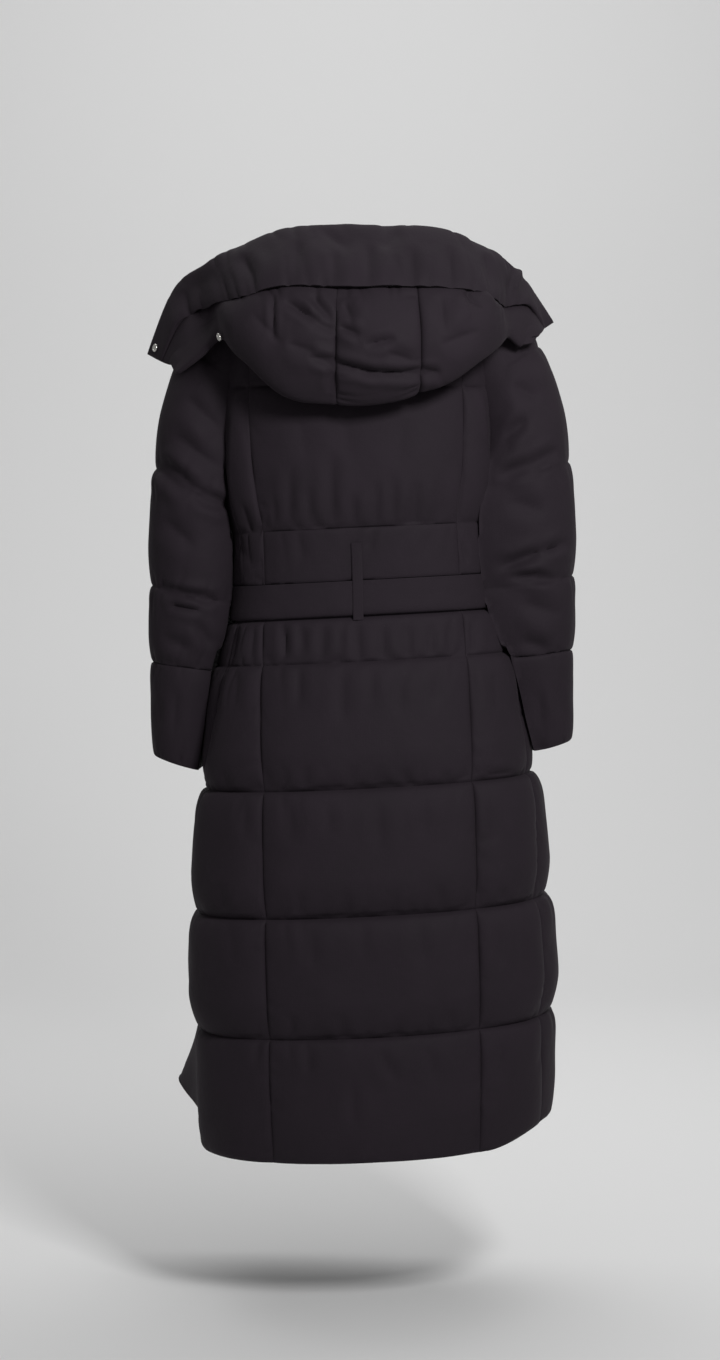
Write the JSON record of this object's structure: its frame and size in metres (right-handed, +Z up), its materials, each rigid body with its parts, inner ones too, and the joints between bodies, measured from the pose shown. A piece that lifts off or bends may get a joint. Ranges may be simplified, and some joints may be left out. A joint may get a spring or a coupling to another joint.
{
  "type": "long hooded puffer coat, worn",
  "caption": "Ankle-length black quilted down coat with a hood laid back and a self belt, filled out as if worn",
  "frame": {"origin": "centre of the neckline, where the wearer's neck and shoulders carry the coat", "axes": "+Z up along the body, +X to the wearer's left, +Y out of the coat's back"},
  "size_m": [0.6098, 0.4363, 1.2874],
  "materials": {
    "cloth": "matte",
    "snap_metal": "polished"
  },
  "bodies": {
    "root": {"back_side_left": "cloth", "back_centre_top": "cloth", "back_centre_skirt": "cloth", "back_side_right": "cloth", "front_right": "cloth", "front_left": "cloth", "sleeve_left": "cloth", "cuff_left": "cloth", "sleeve_right": "cloth", "cuff_right": "cloth", "hood_side_left": "cloth", "hood_centre": "cloth", "hood_side_right": "cloth", "hood_brim": "cloth", "belt": "cloth", "belt_loop": "cloth", "placket": "cloth", "snap_wing": "snap_metal", "snap_crown": "snap_metal"}
  },
  "joints": []
}
